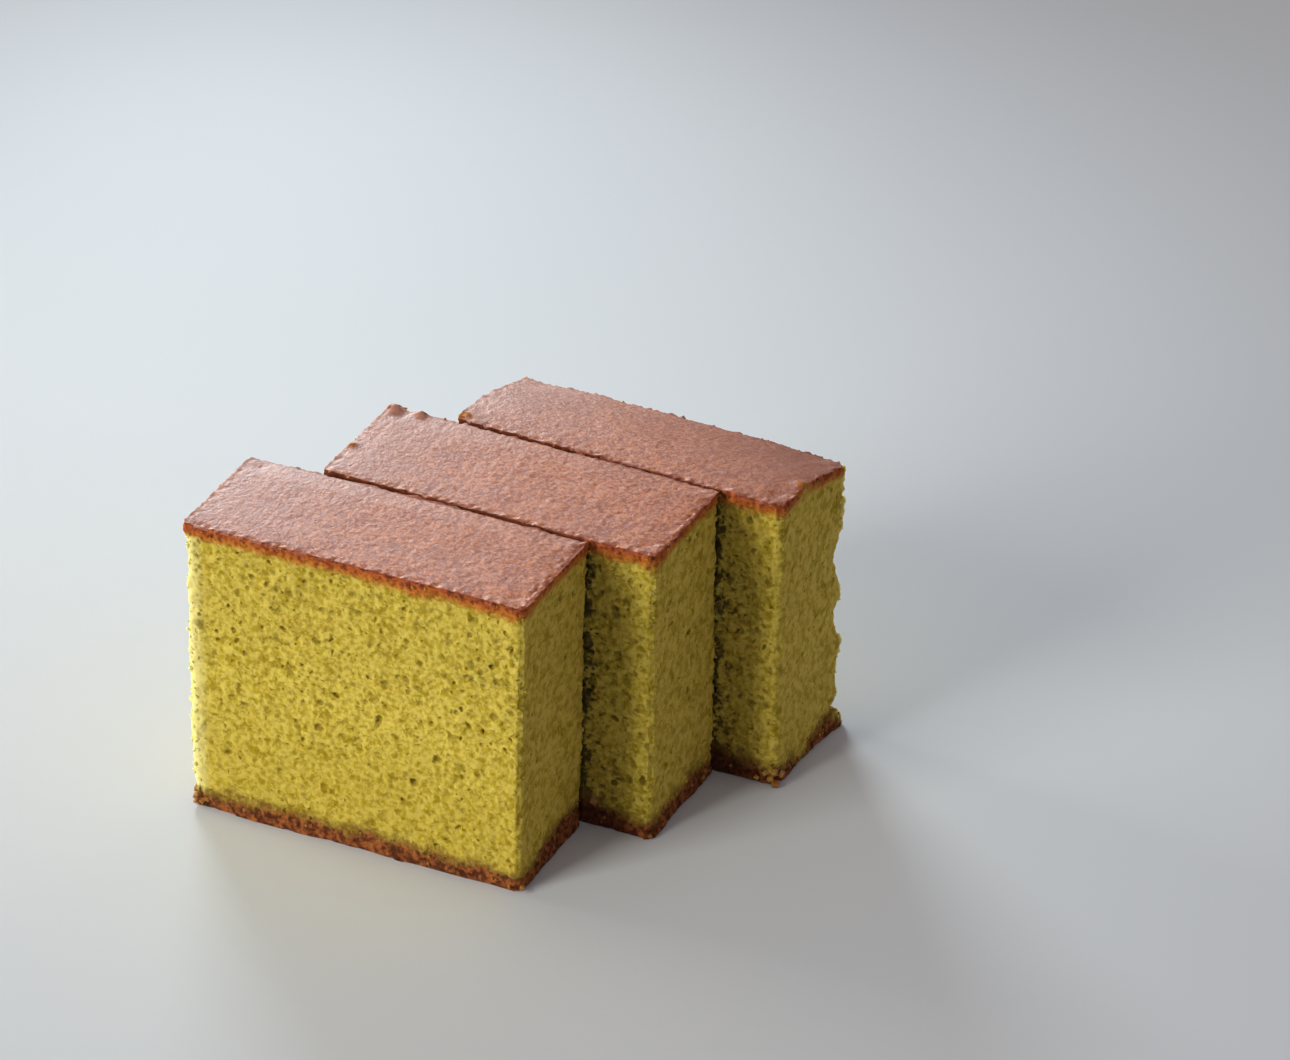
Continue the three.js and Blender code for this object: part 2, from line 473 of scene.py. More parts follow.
# Each bit is given by its place along and across the slice, its height, its reach, and how far
# it is torn open, all in mm.
TORN_BITS = {
    "front_slice": ((31.0, -11.5, -0.12, 1.6, 0),),
    "middle_slice": (
        (-31.0, 11.6, 0.9, 1.5, 0), (-26.0, 11.8, 0.9, 1.1, 0.8), (-31.5, -3.0, 0.4, 0.9, 2.2),
    ),
    "back_slice": (
        (22.0, -11.9, 0.25, 1.2, 0), (31.2, -3.8, 0.45, 1.4, 2.4), (-31.6, -11.0, 0.2, 1.6, 2.2),
    ),
}


def top_edges(node):
    """How far the CAD slice's top reaches, along and across, at its low and high ends, in mm."""
    cad_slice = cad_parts[node]
    places = np.array([cad_slice.matrix_world @ vertex.co for vertex in cad_slice.data.vertices])
    lying = on_slice(places, node)[places[:, 2] > TOP_HEIGHT - MM] / MM
    return lying.min(axis=0), lying.max(axis=0)


def near_bit(lying, along, across, reach):
    """1 in the middle of a torn bit, and less further out."""
    gap = np.hypot(lying[:, 0] - along, lying[:, 1] - across)
    return np.exp(-((gap / reach) ** 2))


def lift_rim(piece, node):
    place = corners(piece)
    lying = on_slice(place, node) / MM
    at_top = smooth(0.3, 0.8, normals(piece)[:, 2])
    just_below = 1 - smooth(0.8 * MM, 2.5 * MM, TOP_HEIGHT - place[:, 2])
    low, high = top_edges(node)
    from_ends = np.minimum(lying[:, 0] - low[0], high[0] - lying[:, 0])
    gaps = (lying[:, 1] - low[1], high[1] - lying[:, 1], from_ends)
    rises = [part * np.interp(gap, FALL_AT, FALL) for part, gap in zip(KEPT_LEVEL[node], gaps)]
    place[:, 2] += np.maximum(at_top, just_below) * np.max(rises, axis=0) * MM
    for along, across, height, reach, _ in TORN_BITS[node]:
        place[:, 2] += at_top * height * MM * near_bit(lying, along, across, reach)
    piece.data.vertices.foreach_set("co", place.ravel())
    piece.data.update()


for node, sponge in sponges.items():
    lift_rim(sponge, node)
    print(sponge.name, "has", len(TORN_BITS[node]), "torn bits on its rim")

# %% [markdown]
# ## Pores
#
# What makes crumb look like crumb is its holes. They are fewer and larger near the top, where
# the batter rose longest, and small and close further down. Dark dots painted on a flat wall
# would lie when the light moves, so the larger holes are real: lumpy little balls are modelled
# once for each size, copied to random places on the cut faces, joined, and taken out of the slice
# by a Boolean. The balls of one pass keep clear of each other, because the Boolean wants clean
# walls, and the passes overlap freely into odd shapes. A few passes of smoothing round the rims.

# %% Lumpy balls: one for crumbs, one for medium pores and one for large ones


def lumpy_ball(name, subdivisions, lumps, seed):
    """A ball of radius 1 with uneven sides, as arrays of corners and triangles."""
    deselect()
    bpy.ops.mesh.primitive_ico_sphere_add(subdivisions=subdivisions, radius=1)
    ball = bpy.context.object
    ball.name = name
    bpy.ops.object.mode_set(mode="EDIT")
    bpy.ops.mesh.select_all(action="SELECT")
    bpy.ops.transform.vertex_random(offset=lumps, uniform=1.0, normal=0.0, seed=seed)
    bpy.ops.object.mode_set(mode="OBJECT")
    shape = corners(ball), [list(face.vertices) for face in ball.data.polygons]
    bpy.data.objects.remove(ball)
    return shape


crumb_ball = lumpy_ball("crumb_ball", 1, 0.22, 1)
large_ball = lumpy_ball("large_ball", 2, 0.17, 2)
medium_ball = lumpy_ball("medium_ball", 2, 0.13, 3)
print("a crumb has", len(crumb_ball[1]), "faces and a pore", len(large_ball[1]))

# %% Random places on the cut faces
NO_AREA = 1e-30  # a cut can leave a triangle with no area, which has no normal either


def triangles(piece):
    """Corners, unit normals and areas of a mesh's triangles."""
    piece.data.calc_loop_triangles()
    index = np.empty(len(piece.data.loop_triangles) * 3, dtype=np.int32)
    piece.data.loop_triangles.foreach_get("vertices", index)
    ends = corners(piece)[index.reshape(-1, 3)]
    crossed = np.cross(ends[:, 1] - ends[:, 0], ends[:, 2] - ends[:, 0])
    length = np.linalg.norm(crossed, axis=1)
    return ends, crossed / np.maximum(length, NO_AREA)[:, None], length / 2


def scatter(surface, tries, rng):
    """Random places on a surface, spread evenly, with the way that each one faces."""
    ends, facing, area = surface
    chosen = rng.choice(len(area), size=tries, p=area / area.sum())
    first, second = rng.random((2, tries))
    fold = first + second > 1
    first[fold], second[fold] = 1 - first[fold], 1 - second[fold]
    along = ends[chosen, 1] - ends[chosen, 0]
    across = ends[chosen, 2] - ends[chosen, 0]
    places = ends[chosen, 0] + first[:, None] * along + second[:, None] * across
    return places, facing[chosen]


for node, sponge in sponges.items():
    print(sponge.name, "has", round(triangles(sponge)[2].sum() / MM**2), "square mm to scatter on")

# %% Places that keep clear of each other


def keep_apart(places, reach):
    """The places that stay clear of all earlier ones. reach is how far each one extends."""
    cell = 2 * reach.max()
    taken, kept = {}, []
    for number, place in enumerate(places):
        home = tuple((place // cell).astype(int))
        near = [
            other
            for i in (-1, 0, 1) for j in (-1, 0, 1) for k in (-1, 0, 1)
            for other in taken.get((home[0] + i, home[1] + j, home[2] + k), ())
        ]
        needed = [reach[number] + reach[other] for other in near]
        apart = [np.linalg.norm(place - places[other]) for other in near]
        if all(gap > need for gap, need in zip(apart, needed)):
            taken.setdefault(home, []).append(number)
            kept.append(number)
    return np.array(kept, dtype=int)


# %% Copies of a ball, joined


def random_turns(count, rng):
    """Random rotation matrices, from random unit quaternions."""
    quaternions = rng.normal(size=(count, 4))
    w, x, y, z = quaternions.T / np.linalg.norm(quaternions, axis=1)
    rows = (
        (1 - 2 * (y * y + z * z), 2 * (x * y - z * w), 2 * (x * z + y * w)),
        (2 * (x * y + z * w), 1 - 2 * (x * x + z * z), 2 * (y * z - x * w)),
        (2 * (x * z - y * w), 2 * (y * z + x * w), 1 - 2 * (x * x + y * y)),
    )
    return np.moveaxis(np.array(rows), 2, 0)


def joined_copies(name, shape, places, sizes, rng):
    """One mesh of many copies of a shape, each turned at random and stretched by three sizes."""
    shape_corners, shape_faces = shape
    stretched = shape_corners[None] * sizes[:, None, :]
    copied = np.einsum("nij,nkj->nki", random_turns(len(places), rng), stretched)
    moved = copied + places[:, None, :]
    steps = np.arange(len(places)) * len(shape_corners)
    faces = [[corner + step for corner in face] for step in steps.tolist() for face in shape_faces]
    mesh = bpy.data.meshes.new(name)
    mesh.from_pydata(moved.reshape(-1, 3), [], faces)
    copies = bpy.data.objects.new(name, mesh)
    bpy.context.scene.collection.objects.link(copies)
    return copies


# %% Where pores go
# tries is for each slice, from front to back. radius runs from the smallest to the largest, in
# mm, high is how much more of them lie near the top than near the bottom, and end how many an
# end has for each on a long face.
PORE_PASSES = (
    {
        "name": "large", "ball": large_ball, "tries": (850, 1500, 900),
        "radius": (0.40, 0.85), "high": 0.8, "end": 0.2,
    },
    {
        "name": "medium", "ball": medium_ball, "tries": (1500, 4200, 2600),
        "radius": (0.28, 0.50), "high": 0.5, "end": 0.3,
    },
)
FEW_BELOW, MOST_ABOVE = 0.15, 0.75  # heights on the slice, as parts of the whole
LOWEST_PORE, HIGHEST_PORE = 3.2 * MM, 55.4 * MM
EDGE_KEPT = 0.8 * MM  # the crumb left between a pore and an upright edge
SUNK = (-0.55, 0.25)  # how deep a pore's middle lies in the crumb, in radii
NARROWEST, WIDEST = 0.5, 1.7  # how a pore's three sizes may differ from its radius


def pore_places(surface, values, node, rng):
    """Places and radii of one pass of pores on one slice."""
    low, high = np.array(values["radius"]) * MM
    places, facing = scatter(surface, values["tries"][SLICES.index(node)], rng)
    radius = low + (high - low) * rng.random(len(places)) ** 2
    upright = np.abs(facing[:, 2]) < 0.5
    rise = smooth(FEW_BELOW, MOST_ABOVE, places[:, 2] / TOP_HEIGHT)
    chance = 1 - values["high"] * (1 - rise)
    chance = chance * np.where(np.abs(facing[:, 0]) > 0.7, values["end"], 1)
    chance = chance * (hidden(on_slice(places, node), turned_back(facing, node), node) < 0.5)
    clear_of_skins = (places[:, 2] > LOWEST_PORE) & (places[:, 2] < HIGHEST_PORE - radius)
    lying = np.abs(on_slice(places, node))
    from_edge = np.maximum(HALF_LENGTH - lying[:, 0], HALF_THICKNESS - lying[:, 1])
    clear_of_edges = from_edge > radius + EDGE_KEPT
    keep = upright & clear_of_skins & clear_of_edges & (rng.random(len(places)) < chance)
    places, facing, radius = places[keep], facing[keep], radius[keep]
    kept = keep_apart(places, radius * WIDEST)
    sunk = radius * rng.uniform(*SUNK, len(radius))
    return places[kept] - facing[kept] * sunk[kept, None], radius[kept]


print("pores are cut in", len(PORE_PASSES), "passes")

# %% Cut the pores
PORE_SMOOTHING = 3  # passes


def soften_pores(piece, centres, reach):
    """Rounds the rims and walls of pores."""
    tree = KDTree(len(centres))
    for number, centre in enumerate(centres):
        tree.insert(centre, number)
    tree.balance()
    nearest = [tree.find(vertex.co) for vertex in piece.data.vertices]
    near = np.array([gap < reach[number] for _, number, gap in nearest])
    group_of(piece, "pores", near.astype(float))
    add_modifier(piece, "SMOOTH", vertex_group="pores", factor=0.5, iterations=PORE_SMOOTHING)


def cut_pores(piece, node, seed):
    rng = np.random.default_rng(seed)
    surface = triangles(piece)
    centres, reach = [], []
    for values in PORE_PASSES:
        places, radius = pore_places(surface, values, node, rng)
        sizes = radius[:, None] * rng.uniform(NARROWEST, WIDEST, (len(radius), 3))
        balls = joined_copies("pores", values["ball"], places, sizes, rng)
        add_modifier(piece, "BOOLEAN", object=balls, operation="DIFFERENCE", solver="MANIFOLD")
        bpy.data.objects.remove(balls)
        centres.extend(places)
        reach.extend(radius * WIDEST)
        print(piece.name, "has", len(radius), values["name"], "pores")
    soften_pores(piece, centres, reach)


smooth_walls = {}
for seed, (node, sponge) in enumerate(sponges.items(), start=1):
    depsgraph = bpy.context.evaluated_depsgraph_get()
    smooth_walls[node] = BVHTree.FromObject(sponge, depsgraph)
    cut_pores(sponge, node, seed)
    print(sponge.name, "now has", len(sponge.data.polygons), "faces")

# %% [markdown]
# ## What the materials need to know
#
# Browning depends on where a point lies: how far below the top, how far in from the rim, how far
# above the line where the base layer ends, and how deep in a pore. The crumb is also more open
# on the long faces than on the ends, most of all beside the slice in front, where it lies in
# shadow and is given painted shade too. Along two upright edges it gets a pale painted glow, for
# light that shines through it. A painted picture could hold all this, but only at the size it
# was painted for. So it is measured here, once for each vertex, and kept on the mesh as
# attributes, which a material can read. Lengths are in millimetres. The base layer's line is even
# nearly everywhere, but on the last slice's end the green crumb hangs down over it in two places.

# %% The line where the base layer ends
BASE_LINE = 3.7
CREVICE_RISE = 1.6  # how much higher the base layer reaches beside the slice in front
RISE_FADES = (HALF_LENGTH - 13 * MM, HALF_LENGTH - 3 * MM)  # where along the slice it fades
RIGHT_END_LINE = {  # distance in from the front of the right end, then height
    "front_slice": ((0, 3.4), (6, 4.2), (14, 5.0), (24, 5.2)),
    "middle_slice": ((0, 3.4), (8, 4.2), (16, 4.8), (24, 4.0)),
    "back_slice": (
        (0, 3.8), (6, 3.6), (8.5, 1.0), (12, 0.4), (13.5, 3.2), (20, 3.6), (22.5, 2.8), (24, 0.8),
    ),
}


def base_line(lying, facing, node):
    """How high the base layer reaches at each place on a slice, in millimetres."""
    across, height = zip(*RIGHT_END_LINE[node])
    on_right = smooth(*SIDE_ON, facing[:, 0])
    line = np.interp((lying[:, 1] + HALF_THICKNESS) / MM, across, height)
    beside = BASE_LINE
    if node != "front_slice":
        beside += CREVICE_RISE * (1 - smooth(*RISE_FADES, lying[:, 0]))
    return beside + (line - beside) * on_right


crevice_line = round(BASE_LINE + CREVICE_RISE, 1)
print("the base layer reaches", BASE_LINE, "mm up, and", crevice_line, "in a crevice")

# %% How open the crumb is, and where painted shade goes
END_OPEN = 0.25  # on an end
FACE_OPEN, HIGH_OPEN = 0.18, 0.30  # what a clean long face adds, and what its upper part adds
HIGH = (10 * MM, 45 * MM)  # where that upper part begins, and where it counts in full
# On the torn front faces this is partly painted shade: it grows into the crevice and the seam
# beside the slice in front, where shade falls, and lessens towards the lit right end.
TORN_OPEN_AND_SHADE, CREVICE_SHADE = 0.75, 0.5  # what a torn front face adds, and what its crevice adds
RIGHT_LIGHTER = 0.35  # what it loses again towards its right end
TOWARDS_RIGHT = (HALF_LENGTH - 11 * MM, HALF_LENGTH - 1 * MM)
CREVICE = (HALF_LENGTH - 14 * MM, HALF_LENGTH - 10.4 * MM)  # beside the slice in front
SEAM_SHADE = 1.4  # in the seam itself, where the two slices meet
SEAM = (0.3 * MM, 1.0 * MM)  # how far in from the front face it is felt


def openness_and_shade(lying, facing, node):
    """How open the crumb is, from 0.25 on an end to 1.5 in the crevice beside a slice; there it
    also carries painted shade.
    """
    long_face = smooth(*SIDE_ON, np.abs(facing[:, 1]))
    clean = END_OPEN + long_face * (FACE_OPEN + HIGH_OPEN * smooth(*HIGH, lying[:, 2]))
    if node == "front_slice":
        return clean
    to_right = smooth(*TOWARDS_RIGHT, lying[:, 0])
    crevice = 1 - smooth(*CREVICE, lying[:, 0])
    beside_seam = 1 - smooth(*SEAM, HALF_THICKNESS + lying[:, 1])
    torn = TORN_OPEN_AND_SHADE - RIGHT_LIGHTER * to_right + CREVICE_SHADE * crevice
    torn = np.maximum(END_OPEN + long_face * torn, SEAM_SHADE * crevice * beside_seam)
    return np.where(lying[:, 1] < 0, torn, clean)


def from_glow_edges(lying, node):
    """How far a place is from the upright edges where a pale glow is painted on the crumb, in
    millimetres.
    """
    from_left = np.hypot(HALF_LENGTH + lying[:, 0], HALF_THICKNESS + lying[:, 1])
    from_tear = np.hypot(HALF_LENGTH - lying[:, 0], HALF_THICKNESS - lying[:, 1])
    return (np.minimum(from_left, 2 * from_tear) if node == "back_slice" else from_left) / MM


# %% Measure every vertex
BIT_DEPTH = 2  # a torn bit is open no further below the top than this, in mm


def keep_attribute(piece, name, values):
    attribute = piece.data.attributes.new(name, "FLOAT", "POINT")
    attribute.data.foreach_set("value", np.asarray(values, dtype=np.float32))


def measure(piece, node, depth, least_below_top=-5):
    """Keeps all that the materials read. depth is how deep each vertex lies in a pore."""
    place, facing = corners(piece), turned_back(normals(piece), node)
    lying = on_slice(place, node)
    rim = np.minimum(HALF_LENGTH - np.abs(lying[:, 0]), HALF_THICKNESS - np.abs(lying[:, 1]))
    below = np.maximum(depth_below_top(place, node), least_below_top)
    for along, across, _, reach, opened in TORN_BITS[node]:
        below += opened * near_bit(lying / MM, along, across, reach) * (below < BIT_DEPTH)
    keep_attribute(piece, "pit_depth", depth)
    keep_attribute(piece, "below_top", below)
    keep_attribute(piece, "in_from_rim", rim / MM)
    keep_attribute(piece, "above_base", place[:, 2] / MM - base_line(lying, facing, node))
    keep_attribute(piece, "open_and_shade", openness_and_shade(lying, facing, node))
    keep_attribute(piece, "from_glow_edges", from_glow_edges(lying, node))


for node, sponge in sponges.items():
    wall = smooth_walls[node]
    measure(sponge, node, [wall.find_nearest(vertex.co)[3] / MM for vertex in sponge.data.vertices])
    print(sponge.name, "keeps", [a.name for a in sponge.data.attributes if a.domain == "POINT"])

# %% [markdown]
# ## Crumbs that cling to the edges
#
# A knife pulls crumbs out of soft sponge, and most of them stay stuck along the edges, where
# they catch the light. They are a lumpy ball again, now added to the surface instead of taken
# out of it. A particle system would scatter them too, but random places that are worked out here
# stay the same in every run. They are measured as the slices are, so each one is green, toasted
# or dark by where it sticks.

# %% Crumbs
CRUMB_TRIES = 20000
CRUMB_RADIUS = (0.16, 0.42)  # mm
CRUMB_SHAPE = (0.6, 1.3)  # how its three sizes may differ from that
CRUMB_OUT = (-0.2, 0.7)  # how far out of the surface its middle stands, in radii
CRUMB_BELOW_TOP = 0.9  # a crumb on the rim came from at least this far below the top, in mm
TORN_BELOW = 3  # how far below the top the torn edge of the last slice begins, in mm
CLEAN_SHARE = 0.36  # how many crumbs cling elsewhere, for each on that torn edge
STRAYS = 0.02  # how likely a crumb is away from all edges
# Where crumbs are likely: from how far off to how far off, and how likely there.
BY_UPRIGHT_EDGE = (0.4 * MM, 1.6 * MM, 1)
BY_RIM = (0.2 * MM, 1.2 * MM, 0.35)
BY_FLOOR = (3 * MM, 5 * MM, 0.35)


def crumb_chance(lying, below, node):
    """How likely a place is to hold a crumb: likely along the edges, rare elsewhere."""
    from_end = HALF_LENGTH - np.abs(lying[:, 0])
    from_side = HALF_THICKNESS - np.abs(lying[:, 1])
    from_rim = np.hypot(np.minimum(from_end, from_side), below * MM)
    gaps = (np.hypot(from_end, from_side), from_rim, lying[:, 2])
    near = [
        most * (1 - smooth(full, none, gap))
        for gap, (full, none, most) in zip(gaps, (BY_UPRIGHT_EDGE, BY_RIM, BY_FLOOR))
    ]
    last_corner = (node == "back_slice") & (lying[:, 0] > 0) & (lying[:, 1] > 0)
    torn = np.where(last_corner & (below > TORN_BELOW), 1, CLEAN_SHARE)
    return np.clip((np.max(near, axis=0) + STRAYS) * torn, 0, 1)


def cling_crumbs(piece, node, seed):
    rng = np.random.default_rng(seed)
    places, facing = scatter(triangles(piece), CRUMB_TRIES, rng)
    lying = on_slice(places, node)
    shown = hidden(lying, turned_back(facing, node), node) < 0.5
    off_the_top = (facing[:, 2] < 0.6) & (places[:, 2] > 0.5 * MM)
    chance = crumb_chance(lying, depth_below_top(places, node), node)
    keep = shown & off_the_top & (rng.random(len(places)) < chance)
    places, facing = places[keep], facing[keep]
    low, high = CRUMB_RADIUS
    radius = (low + (high - low) * rng.random(len(places)) ** 2) * MM
    sizes = radius[:, None] * rng.uniform(*CRUMB_SHAPE, (len(radius), 3))
    places = places + facing * (radius * rng.uniform(*CRUMB_OUT, len(radius)))[:, None]
    crumbs = joined_copies(node.replace("slice", "crumbs"), crumb_ball, places, sizes, rng)
    measure(crumbs, node, np.zeros(len(crumbs.data.vertices)), CRUMB_BELOW_TOP)
    return crumbs


crumb_pieces = {}
for seed, (node, sponge) in enumerate(sponges.items(), start=11):
    crumb_pieces[node] = cling_crumbs(sponge, node, seed)
    print(crumb_pieces[node].name, "has", len(crumb_pieces[node].data.polygons), "faces")

# %% [markdown]
# ## Grains of sugar
#
# Coarse sugar is strewn in the tin before the batter, and some of it never melts. It shows as
# amber grains in the dark layer. A grain is a cube with bevelled, uneven corners. It is modelled
# once and copied, half sunk, along the sides of the base layer, with small heaps of grains at
# a few corners. A ball would be quicker, but sugar breaks the light on flat sides.

# %% One grain
GRAIN_BEVEL, GRAIN_LUMPS = 0.22, 0.12  # for a grain that is 2 wide


def sugar_grain():
    deselect()
    bpy.ops.mesh.primitive_cube_add(size=2)
    grain = bpy.context.object
    bpy.ops.object.mode_set(mode="EDIT")
    bpy.ops.mesh.select_all(action="SELECT")
    bpy.ops.mesh.bevel(offset=GRAIN_BEVEL, segments=1)
    bpy.ops.mesh.select_all(action="SELECT")
    bpy.ops.transform.vertex_random(offset=GRAIN_LUMPS, uniform=1.0, normal=0.0, seed=4)
    bpy.ops.object.mode_set(mode="OBJECT")
    shape = corners(grain), [list(face.vertices) for face in grain.data.polygons]
    bpy.data.objects.remove(grain)
    return shape


grain_shape = sugar_grain()
print("a grain has", len(grain_shape[1]), "faces")

# %% Grains in the base layer
GRAIN_TRIES = 6000
GRAINS_PER_SLICE = 12
GRAIN_RADIUS = (0.22, 0.40)  # mm, half a grain's side
GRAIN_SHAPE = (0.8, 1.15)  # how its three sizes may differ from that
LOWEST_GRAIN, HIGHEST_GRAIN = 0.7, 3.4  # mm
HEAP = {  # along, across and height on the slice, and half a side, in mm
    "front_slice": (
        (-31.7, -12.0, 0.9, 0.55), (-31.9, -12.2, 1.9, 0.5), (-31.4, -12.3, 2.7, 0.45),
        (-30.5, -12.3, 1.3, 0.5), (-29.6, -12.3, 2.1, 0.42), (31.9, -11.9, 1.3, 0.42),
    ),
    "middle_slice": ((20.6, -12.2, 4.6, 0.62), (31.6, -12.0, 0.8, 0.4)),
    "back_slice": (
        (31.3, -12.2, 0.8, 0.62), (30.4, -12.3, 1.7, 0.5), (32.0, -11.2, 2.6, 0.46),
        (29.2, -12.2, 2.4, 0.48), (31.2, -12.3, 3.2, 0.5), (27.6, -12.3, 1.2, 0.44),
    ),
}


def strew_sugar(piece, node, rng):
    """Places and half sides of one slice's grains."""
    places, facing = scatter(triangles(piece), GRAIN_TRIES, rng)
    height = places[:, 2] / MM
    low_down = (height > LOWEST_GRAIN) & (height < HIGHEST_GRAIN) & (np.abs(facing[:, 2]) < 0.5)
    shown = hidden(on_slice(places, node), turned_back(facing, node), node) < 0.5
    chosen = np.flatnonzero(low_down & shown)[:GRAINS_PER_SLICE]
    low, high = GRAIN_RADIUS
    half = (low + (high - low) * rng.random(len(chosen)) ** 2) * MM
    heap = np.array(HEAP[node]) * MM
    all_places = np.vstack([places[chosen], from_slice(heap[:, :3], node)])
    return all_places, np.concatenate([half, heap[:, 3]])


rng = np.random.default_rng(21)
strewn = [strew_sugar(sponge, node, rng) for node, sponge in sponges.items()]
grain_places = np.vstack([places for places, half in strewn])
half_sides = np.concatenate([half for places, half in strewn])
grain_sizes = half_sides[:, None] * rng.uniform(*GRAIN_SHAPE, (len(half_sides), 3))
sugar = joined_copies("sugar_grains", grain_shape, grain_places, grain_sizes, rng)
print(len(half_sides), "grains of sugar, with", len(sugar.data.polygons), "faces")

# %% [markdown]
# ## Shared effects
#
# Crumb grain and browning show in more than one material, so each is a node group, built once.
# A group takes the place of a point and gives back masks and heights. The colours stay in the
# materials.

# %% Small helpers for node trees


def set_input(tree, socket, value):
    """Sets an input to a value, or links another node's socket to it."""
    if isinstance(value, bpy.types.NodeSocket):
        tree.links.new(value, socket)
    else:
        socket.default_value = value


def add_node(tree, kind, settings=None, **inputs):
    """A shader node with its settings. _0 and _1 are its first two inputs, others have names."""
    node = tree.nodes.new("ShaderNode" + kind)
    for name, value in (settings or {}).items():
        setattr(node, name, value)
    for name, value in inputs.items():
        key = int(name[1:]) if name[1:].isdigit() else name.replace("_", " ")
        set_input(tree, node.inputs[key], value)
    return node


def maths(tree, operation, first, second):
    return add_node(tree, "Math", {"operation": operation}, _0=first, _1=second).outputs[0]


def plus(tree, first, second):
    return maths(tree, "ADD", first, second)


def minus(tree, first, second):
    return maths(tree, "SUBTRACT", first, second)


def times(tree, first, second):
    return maths(tree, "MULTIPLY", first, second)


def larger(tree, first, second):
    return maths(tree, "MAXIMUM", first, second)


def fade(tree, value, start, end, before=1.0, after=0.0):
    """Goes smoothly from one level to another as value runs from start to end."""
    node = add_node(
        tree, "MapRange", {"interpolation_type": "SMOOTHSTEP"},
        Value=value, From_Min=start, From_Max=end, To_Min=before, To_Max=after,
    )
    return node.outputs["Result"]


def grow(tree, value, start, end, most=1.0):
    """The other way round: from 0 to most."""
    return fade(tree, value, start, end, 0.0, most)


# %% Colours and patterns
MIX_COLOURS, MIX_RESULT = (6, 7), 2  # where a Mix node has its colour sockets


def blend(tree, mask, under, over):
    """One colour laid over another where a mask is 1."""
    node = add_node(tree, "Mix", {"data_type": "RGBA"}, Factor=mask)
    for number, colour in zip(MIX_COLOURS, (under, over)):
        plain = isinstance(colour, tuple)
        set_input(tree, node.inputs[number], (*colour, 1) if plain else colour)
    return node.outputs[MIX_RESULT]


def noise(tree, place, size, detail=2.0, roughness=0.5):
    """Noise with lumps about size wide, from 0 to 1."""
    node = add_node(
        tree, "TexNoise", Vector=place, Scale=1 / size, Detail=detail, Roughness=roughness
    )
    return node.outputs["Fac"]


def stray(tree, place, size, amount):
    """Places moved by up to half of amount, so that what is drawn on them wanders."""
    bend = add_node(tree, "TexNoise", Vector=place, Scale=1 / size, Detail=1.0).outputs["Color"]
    shift = add_node(tree, "VectorMath", {"operation": "SCALE"}, _0=bend, Scale=amount).outputs[0]
    return add_node(tree, "VectorMath", {"operation": "ADD"}, _0=place, _1=shift).outputs[0]


def specks(tree, place, size, share, widest):
    """Round specks in the cells of a Voronoi pattern. share is how many of the cells hold one."""
    cells = add_node(tree, "TexVoronoi", Vector=place, Scale=1 / size)
    luck = add_node(tree, "SeparateColor", Color=cells.outputs["Color"]).outputs[0]
    radius = times(tree, minus(tree, luck, 1 - share), widest / share)
    inside = minus(tree, radius, cells.outputs["Distance"])
    return grow(tree, inside, -widest / 3, widest * 0.6)


def domes(tree, place, size):
    """The heights of small round bumps, packed close."""
    cells = add_node(tree, "TexVoronoi", Vector=place, Scale=1 / size)
    return minus(tree, 1.0, cells.outputs["Distance"])


# %% Crumb grain: small bubbles and threads, too small to be cut in the mesh
WANDER = (0.9 * MM, 1.5 * MM)  # how wide the wandering of bubbles is, and how strong


def new_group(name, inputs, outputs):
    """A node group with named sockets. Returns its tree, its input node and its output node."""
    tree = bpy.data.node_groups.new(name, "ShaderNodeTree")
    for socket, kind in inputs.items():
        tree.interface.new_socket(socket, in_out="INPUT", socket_type="NodeSocket" + kind)
    for socket in outputs:
        tree.interface.new_socket(socket, in_out="OUTPUT", socket_type="NodeSocketFloat")
    return tree, tree.nodes.new("NodeGroupInput").outputs, tree.nodes.new("NodeGroupOutput").inputs


def crumb_grain():
    tree, given, result = new_group(
        "crumb grain", {"Place": "Vector"}, ("Height", "Pits", "Threads", "Hollows")
    )
    place = given["Place"]
    bent = stray(tree, place, *WANDER)
    wide = specks(tree, bent, 2.5 * MM, 0.55, 0.40)
    narrow = specks(tree, bent, 1.2 * MM, 0.45, 0.42)
    pits = larger(tree, wide, narrow)
    threads = noise(tree, place, 0.95 * MM, 2.5, 0.52)
    height = times(tree, minus(tree, times(tree, threads, 2.0), pits), 0.6)
    height = plus(tree, height, times(tree, domes(tree, bent, 0.85 * MM), 0.4))
    tree.links.new(height, result["Height"])
    tree.links.new(pits, result["Pits"])
    tree.links.new(grow(tree, threads, 0.30, 0.62), result["Threads"])
    hollows = noise(tree, bent, 1.8 * MM, 2.0, 0.5)
    tree.links.new(grow(tree, hollows, 0.50, 0.70), result["Hollows"])
    return tree


GRAIN = crumb_grain()
print("the grain has", len(GRAIN.nodes), "nodes")

# %% Browning: how far the top skin, the toasted band under it and the base layer reach
# How far the skin's edge and the base layer's edge stray, finely and broadly, in mm.
TOP_STRAYS, BASE_STRAYS = (2.6, 2.0), (4.2, 3.0)
# Where each one begins to fade and has faded, in mm below the top or above the base line.
SKIN_FADES, TOAST_FADES = (0.1, 0.9), (0.9, 3.2)
DAMP_FADES, BASE_FADES = (-0.4, 1.8), (-1.8, 0.4)


